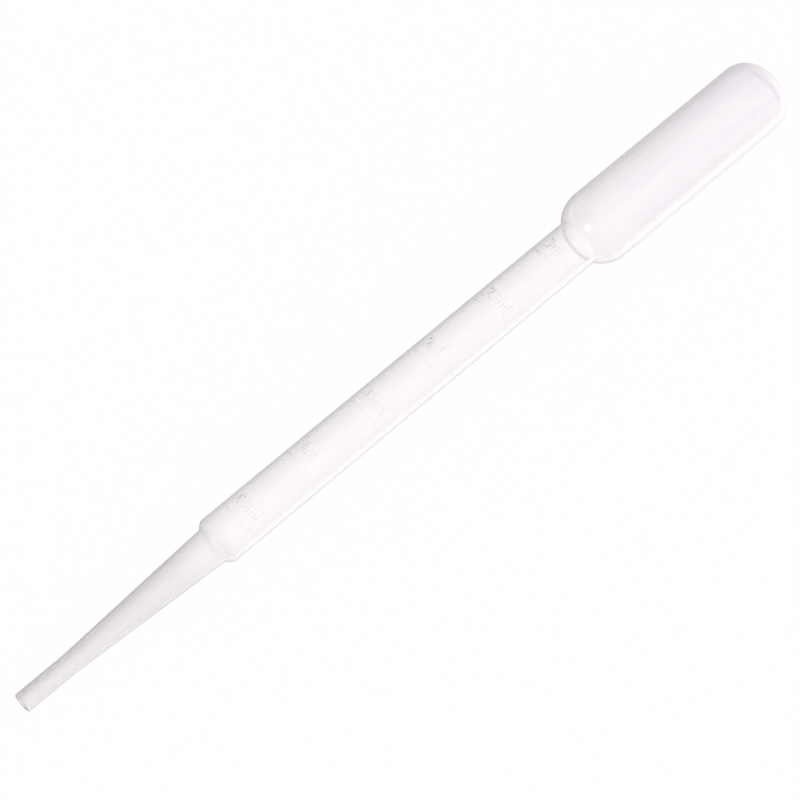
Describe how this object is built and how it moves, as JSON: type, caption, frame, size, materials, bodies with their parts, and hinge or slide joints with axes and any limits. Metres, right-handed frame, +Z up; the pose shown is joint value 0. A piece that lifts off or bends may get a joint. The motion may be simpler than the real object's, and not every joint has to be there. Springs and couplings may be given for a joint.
{
  "type": "plastic dropper pipette",
  "caption": "One-piece squeeze dropper pipette: fine tip, conical stem, straight barrel with raised graduation lines, and a closed squeeze bulb, in milky see-through soft plastic.",
  "frame": {"origin": "on the surface that the pipette lies on, under the middle of its bounding box", "axes": "+X along the pipette from the tip towards the bulb, level; +Z up; the graduation lines look up and 10 degrees towards -Y"},
  "size_m": [0.1558, 0.0124, 0.0146],
  "materials": {
    "soft_polyethylene": "natural low-density polyethylene, milky and see-through, as blown in the mould, with a soft satin gloss"
  },
  "bodies": {
    "root": {"pipette": "soft_polyethylene"}
  },
  "joints": []
}
